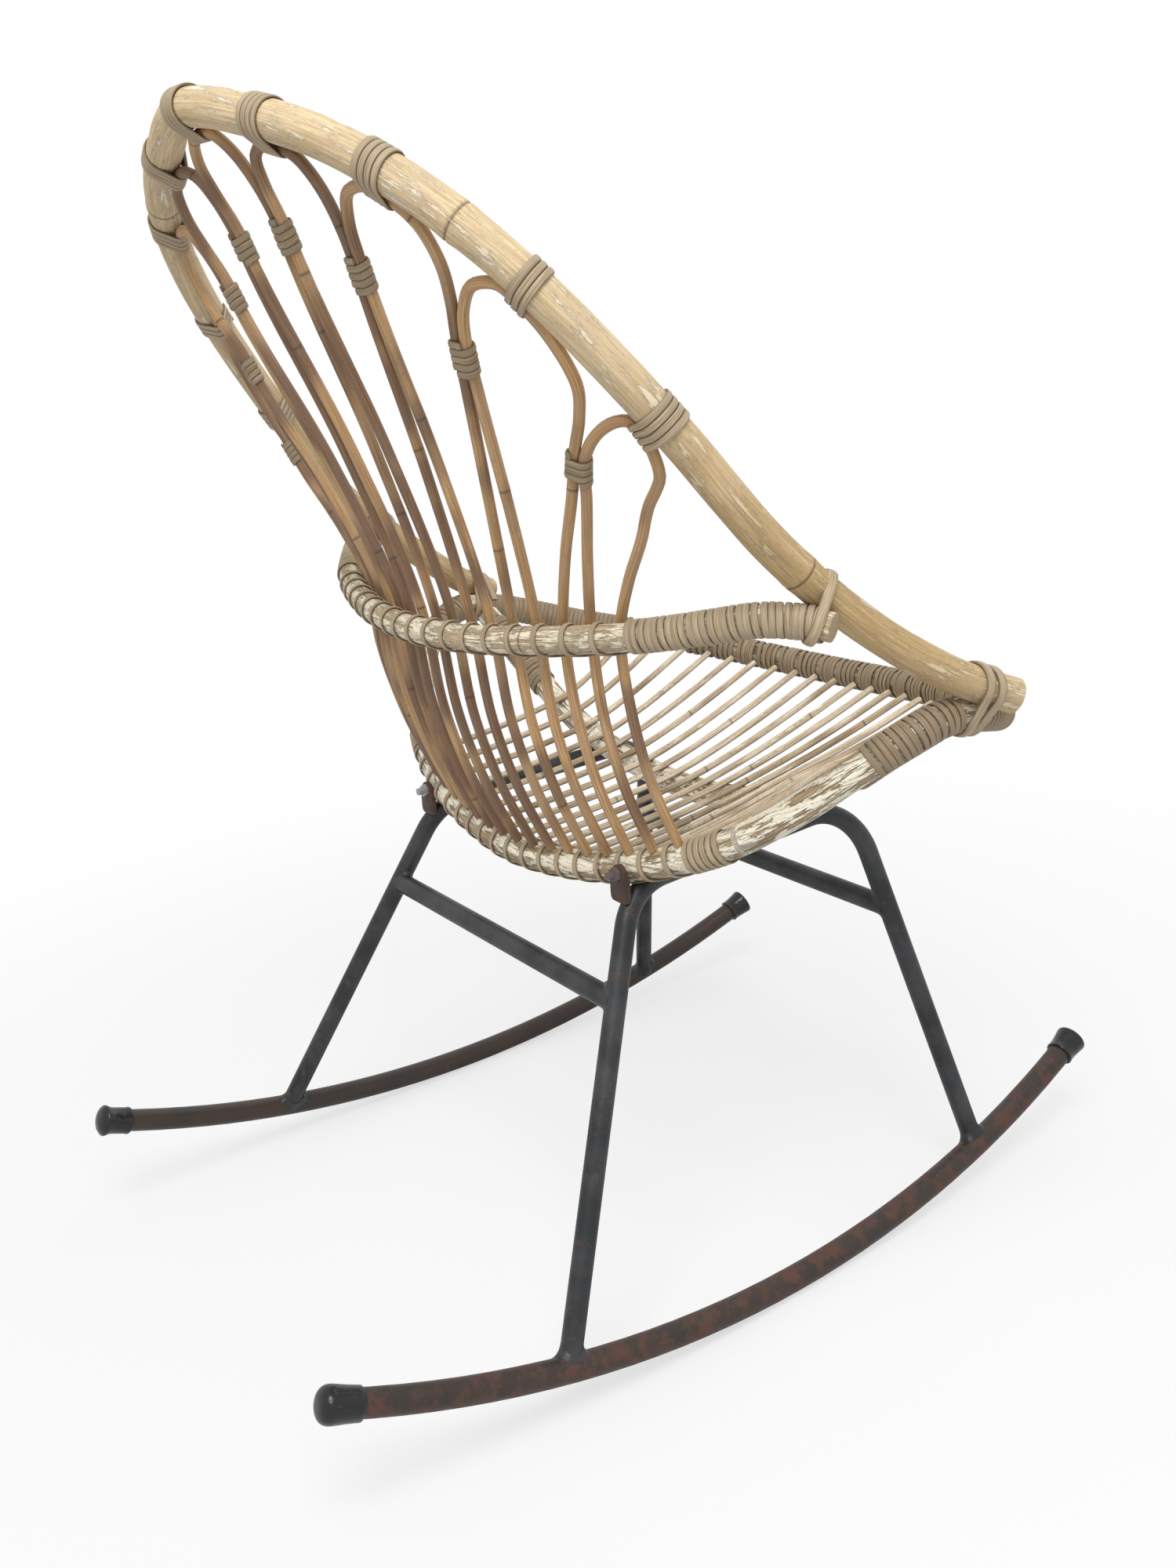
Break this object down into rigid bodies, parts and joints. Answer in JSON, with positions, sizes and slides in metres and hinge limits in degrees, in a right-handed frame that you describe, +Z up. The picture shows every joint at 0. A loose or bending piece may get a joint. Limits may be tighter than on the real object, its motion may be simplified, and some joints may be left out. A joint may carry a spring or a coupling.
{
  "type": "rattan rocking chair",
  "caption": "Rocking chair with a rattan shell: a hooped back of looped spindles and a rod seat, bound with cane, on a tubular steel base with two bent rockers.",
  "frame": {"origin": "middle of the floor under the chair at rest: midway between the rockers and midway between their front and rear ends", "axes": "+Z up, the sitter faces -Y, and the sitter's left is +X"},
  "size_m": [0.6944, 0.7342, 0.8739],
  "materials": {
    "rocker_steel": "worn dark paint with rust",
    "frame_steel": "worn dark blue-grey paint",
    "cap": "glossy black",
    "screw_steel": "bright plated steel",
    "hoop_rattan": "varnished straw-coloured pole, flaking",
    "ring_rattan": "glossy honey pole, cracked and flaking",
    "lumbar_rattan": "grey-cream pole",
    "spindle_rattan": "ochre to brown-grey, matte",
    "rod_rattan": "pale pinkish straw, matte",
    "cane": "dry grey-cream split cane"
  },
  "bodies": {
    "root": {"rocker_left": "rocker_steel", "rocker_right": "rocker_steel", "side_frame_left": "frame_steel", "side_frame_right": "frame_steel", "cross_bar_rear": "frame_steel", "cross_bar_front": "frame_steel", "rear_cap_left": "cap", "rear_cap_right": "cap", "front_cap_left": "cap", "front_cap_right": "cap", "ring_tab_left": "rocker_steel", "ring_tab_right": "rocker_steel", "ring_screws": "screw_steel", "hoop": "hoop_rattan", "seat_ring": "ring_rattan", "seat_bearer": "ring_rattan", "lumbar_ring": "lumbar_rattan", "back_arch_1": "spindle_rattan", "back_arch_2": "spindle_rattan", "back_arch_3": "spindle_rattan", "back_arch_4": "spindle_rattan", "back_arch_5": "spindle_rattan", "back_arch_6": "spindle_rattan", "back_arch_7": "spindle_rattan", "back_arch_8": "spindle_rattan", "back_arch_9": "spindle_rattan", "seat_rod_1": "rod_rattan", "seat_rod_2": "rod_rattan", "seat_rod_3": "rod_rattan", "seat_rod_4": "rod_rattan", "seat_rod_5": "rod_rattan", "seat_rod_6": "rod_rattan", "seat_rod_7": "rod_rattan", "seat_rod_8": "rod_rattan", "seat_rod_9": "rod_rattan", "seat_rod_10": "rod_rattan", "seat_rod_11": "rod_rattan", "seat_rod_12": "rod_rattan", "seat_rod_13": "rod_rattan", "seat_rod_14": "rod_rattan", "seat_rod_15": "rod_rattan", "seat_rod_16": "rod_rattan", "seat_rod_17": "rod_rattan", "seat_rod_18": "rod_rattan", "hoop_bindings": "cane", "arch_ties": "cane", "arm_loops": "cane", "corner_loops": "cane", "lumbar_winding": "cane", "ring_winding": "cane", "lumbar_end_wraps": "cane", "ring_corner_wraps": "cane", "bearer_end_wraps": "cane", "front_weave": "cane"}
  },
  "joints": []
}
